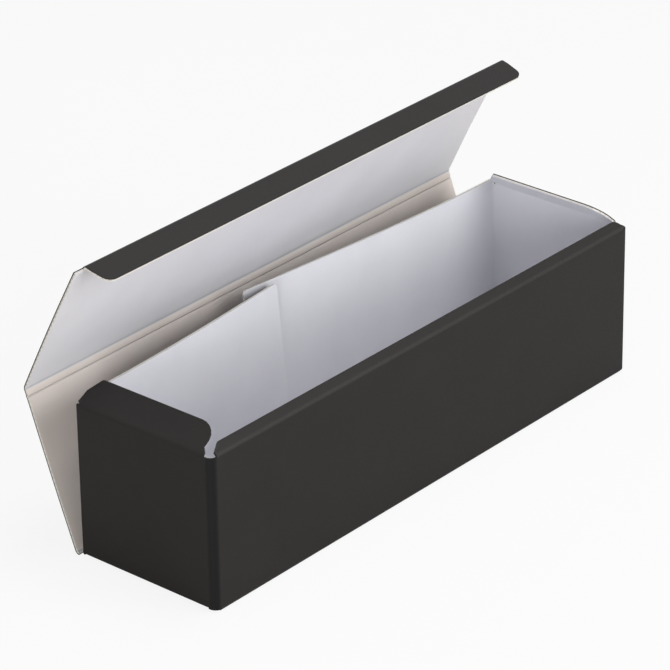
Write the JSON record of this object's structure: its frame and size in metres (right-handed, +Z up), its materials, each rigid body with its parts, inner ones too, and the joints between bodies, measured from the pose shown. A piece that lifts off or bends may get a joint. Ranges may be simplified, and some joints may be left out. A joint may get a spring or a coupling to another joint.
{
  "type": "bottle shipping box",
  "caption": "Long folding box of thin black corrugated board, lying open, with a wrap-round back, lid, tuck flap, end flaps and a front lip",
  "frame": {"origin": "centre of the tray's bottom face, midway along its length and midway between the front wall and the inner back flaps", "axes": "+X along the length to the right end, +Y from the front wall to the back, +Z up; the front wall faces -Y"},
  "size_m": [0.34, 0.1276, 0.1639],
  "materials": {
    "black_board": "satin black coated face",
    "white_liner": "matte white liner"
  },
  "bodies": {
    "tray": {"tray": "black_board"},
    "outer_back": {"outer_back_panel": "black_board"},
    "lid": {"lid_panel": "white_liner"},
    "tuck": {"tuck_flap": "black_board"},
    "left_flap": {"left_end_flap": "black_board"},
    "right_flap": {"right_end_flap": "black_board"},
    "lip": {"front_lip": "black_board"}
  },
  "joints": [
    {"name": "outer_back_fold", "type": "hinge", "parent": "tray", "child": "outer_back", "pos_m": [0, 0.04815, 0.00075], "axis": [1, 0, 0], "range_deg": [-69.5, 20.5]},
    {"name": "lid_fold", "type": "hinge", "parent": "outer_back", "child": "lid", "pos_m": [0, 0.07981, 0.08543], "axis": [1, 0, 0], "range_deg": [-47.7, 42.3]},
    {"name": "tuck_fold", "type": "hinge", "parent": "lid", "child": "tuck", "pos_m": [0, 0.03988, 0.16312], "axis": [1, 0, 0], "range_deg": [-78, 12]},
    {"name": "left_flap_fold", "type": "hinge", "parent": "tray", "child": "left_flap", "pos_m": [-0.16925, 0, 0.088], "axis": [0, 1, 0], "range_deg": [-63, 27]},
    {"name": "right_flap_fold", "type": "hinge", "parent": "tray", "child": "right_flap", "pos_m": [0.16925, 0, 0.088], "axis": [0, -1, 0], "range_deg": [-48.5, 41.5]},
    {"name": "lip_fold", "type": "hinge", "parent": "tray", "child": "lip", "pos_m": [0, -0.04625, 0.088], "axis": [-1, 0, 0], "range_deg": [-62, 28]}
  ]
}
